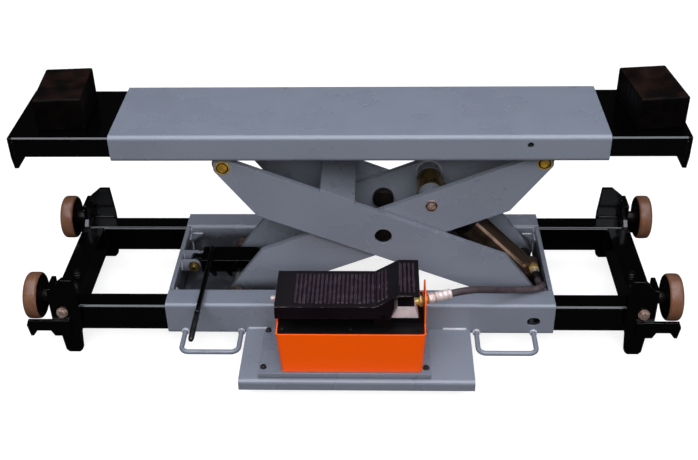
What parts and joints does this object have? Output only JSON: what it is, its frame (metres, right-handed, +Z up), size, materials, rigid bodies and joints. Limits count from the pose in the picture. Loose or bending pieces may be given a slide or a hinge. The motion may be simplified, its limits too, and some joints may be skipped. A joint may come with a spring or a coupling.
{
  "type": "axle jack",
  "caption": "Rolling scissor jacking beam with sliding rubber-padded arms, wheeled telescopic carriages, a hydraulic ram and an air-hydraulic foot pump on a side shelf.",
  "frame": {"origin": "on the floor under the middle of the part's box", "axes": "+X along the beam to the right as seen from the pump, +Y away from the pump, +Z up"},
  "size_m": [1.192, 0.4695, 0.4775],
  "materials": {
    "blue_grey_paint": "semi-gloss",
    "satin_black": "satin",
    "yellow_zinc": "plated",
    "bright_steel": "turned",
    "brass": "machined",
    "bronze_nylon": "matte",
    "pad_rubber": "matte",
    "hose_rubber": "satin",
    "orange_paint": "gloss",
    "cast_aluminium": "cast"
  },
  "bodies": {
    "base": {"front_rail": "blue_grey_paint", "rear_rail": "blue_grey_paint", "base_end_plates": "blue_grey_paint", "corner_gussets": "blue_grey_paint", "roller_tracks": "blue_grey_paint", "pivot_bosses": "blue_grey_paint", "lower_pivot_shaft": "yellow_zinc", "carry_handles": "blue_grey_paint", "pump_shelf": "blue_grey_paint", "pump_tray": "blue_grey_paint", "pump_screws": "satin_black", "pump_housing": "orange_paint", "pump_cover": "satin_black", "treadle_bracket": "satin_black", "valve_block": "cast_aluminium", "air_inlet": "brass", "outlet_fitting": "brass", "hose_crimp": "bright_steel", "hose": "hose_rubber", "lock_lugs": "blue_grey_paint", "lock_bolt": "yellow_zinc"},
    "outer_arms": {"outer_arm_front": "blue_grey_paint", "outer_arm_rear": "blue_grey_paint", "outer_cross_plate": "blue_grey_paint", "upper_roller_shaft": "yellow_zinc"},
    "inner_arms": {"inner_arm_front": "blue_grey_paint", "inner_arm_rear": "blue_grey_paint", "centre_pins": "satin_black", "push_shaft": "yellow_zinc", "push_collars": "blue_grey_paint", "lower_roller_shaft": "bright_steel"},
    "lift_beam": {"lift_beam": "blue_grey_paint", "beam_lugs": "blue_grey_paint", "beam_pivot_pins": "yellow_zinc"},
    "left_extension": {"left_beam_extension": "satin_black"},
    "right_extension": {"right_beam_extension": "satin_black"},
    "left_pad": {"left_pad": "pad_rubber"},
    "right_pad": {"right_pad": "pad_rubber"},
    "cylinder": {"cylinder_barrel": "satin_black", "cylinder_gland": "satin_black", "port_fitting": "brass", "port_crimp": "bright_steel"},
    "ram": {"ram": "bright_steel"},
    "ram_eye": {"ram_eye": "bright_steel"},
    "left_carriage": {"left_carriage_frame": "satin_black", "left_wheel_brackets": "satin_black", "left_axle_bolts": "bright_steel"},
    "right_carriage": {"right_carriage_frame": "satin_black", "right_wheel_brackets": "satin_black", "right_axle_bolts": "bright_steel"},
    "front_left_wheel": {"front_left_wheel": "bronze_nylon"},
    "rear_left_wheel": {"rear_left_wheel": "bronze_nylon"},
    "front_right_wheel": {"front_right_wheel": "bronze_nylon"},
    "rear_right_wheel": {"rear_right_wheel": "bronze_nylon"},
    "lower_rollers": {"lower_rollers": "bronze_nylon"},
    "upper_rollers": {"upper_rollers": "bronze_nylon"},
    "lock": {"lock_bar": "satin_black", "lock_lever": "satin_black"},
    "treadle": {"treadle": "satin_black"}
  },
  "joints": [
    {"name": "lift", "type": "hinge", "parent": "base", "child": "outer_arms", "pos_m": [0.3389, 0.0655, 0.0673], "axis": [0, 1, 0], "range_deg": [-19, 5.5]},
    {"name": "inner_fold", "type": "hinge", "parent": "outer_arms", "child": "inner_arms", "pos_m": [0.05921, 0.0655, 0.21067], "axis": [0, 1, 0], "range_deg": [-11.2, 38.2]},
    {"name": "beam_level", "type": "hinge", "parent": "inner_arms", "child": "lift_beam", "pos_m": [0.3389, 0.0655, 0.35405], "axis": [0, 1, 0], "range_deg": [-19.2, 5.7]},
    {"name": "cylinder_tilt", "type": "hinge", "parent": "base", "child": "cylinder", "pos_m": [0.3389, 0.0655, 0.0673], "axis": [0, 1, 0], "range_deg": [-26.04, 7.68]},
    {"name": "ram_slide", "type": "slide", "parent": "cylinder", "child": "ram", "axis": [-0.6981, 0, 0.716], "range_m": [-0.06663, 0.01943]},
    {"name": "ram_eye_pivot", "type": "hinge", "parent": "inner_arms", "child": "ram_eye", "pos_m": [0.14545, 0.0655, 0.2657], "axis": [0, 1, 0], "range_deg": [-45.04, 13.18]},
    {"name": "left_extension_slide", "type": "slide", "parent": "lift_beam", "child": "left_extension", "axis": [-1, 0, 0], "range_m": [-0.03, 0.15]},
    {"name": "right_extension_slide", "type": "slide", "parent": "lift_beam", "child": "right_extension", "axis": [1, 0, 0], "range_m": [-0.02, 0.15]},
    {"name": "left_pad_swivel", "type": "hinge", "parent": "left_extension", "child": "left_pad", "pos_m": [-0.5, 0.0655, 0.41855], "axis": [0, 0, 1], "range_deg": [-15, 15]},
    {"name": "right_pad_swivel", "type": "hinge", "parent": "right_extension", "child": "right_pad", "pos_m": [0.5225, 0.0655, 0.41855], "axis": [0, 0, 1], "range_deg": [-15, 15]},
    {"name": "left_carriage_slide", "type": "slide", "parent": "base", "child": "left_carriage", "axis": [-1, 0, 0], "range_m": [-0.1, 0.1]},
    {"name": "right_carriage_slide", "type": "slide", "parent": "base", "child": "right_carriage", "axis": [1, 0, 0], "range_m": [-0.09, 0.1]},
    {"name": "front_left_wheel_spin", "type": "hinge", "parent": "left_carriage", "child": "front_left_wheel", "pos_m": [-0.578, -0.0655, 0.1125], "axis": [1, 0, 0], "continuous": true},
    {"name": "rear_left_wheel_spin", "type": "hinge", "parent": "left_carriage", "child": "rear_left_wheel", "pos_m": [-0.578, 0.1965, 0.1125], "axis": [1, 0, 0], "continuous": true},
    {"name": "front_right_wheel_spin", "type": "hinge", "parent": "right_carriage", "child": "front_right_wheel", "pos_m": [0.578, -0.0655, 0.1125], "axis": [1, 0, 0], "continuous": true},
    {"name": "rear_right_wheel_spin", "type": "hinge", "parent": "right_carriage", "child": "rear_right_wheel", "pos_m": [0.578, 0.1965, 0.1125], "axis": [1, 0, 0], "continuous": true},
    {"name": "lower_roller_spin", "type": "hinge", "parent": "inner_arms", "child": "lower_rollers", "pos_m": [-0.22049, 0.0655, 0.0673], "axis": [0, 1, 0], "continuous": true},
    {"name": "upper_roller_spin", "type": "hinge", "parent": "outer_arms", "child": "upper_rollers", "pos_m": [-0.22049, 0.0655, 0.35405], "axis": [0, 1, 0], "continuous": true},
    {"name": "lock_drop", "type": "hinge", "parent": "base", "child": "lock", "pos_m": [-0.3055, 0.0655, 0.097], "axis": [0, 1, 0], "range_deg": [0, 5]},
    {"name": "treadle_rock", "type": "hinge", "parent": "base", "child": "treadle", "pos_m": [0.0585, -0.1525, 0.178], "axis": [0, 1, 0], "range_deg": [-4, 4], "stiffness_Nm_per_rad": 60, "springref_deg": 0.52}
  ],
  "couplings": [
    {"joint": "inner_fold", "follows": "lift", "ratio": -2},
    {"joint": "beam_level", "follows": "lift", "ratio": 1},
    {"joint": "cylinder_tilt", "follows": "lift", "ratio": 1.36},
    {"joint": "ram_slide", "follows": "lift", "m_per_rad": 0.20032},
    {"joint": "ram_eye_pivot", "follows": "lift", "ratio": 2.36}
  ]
}
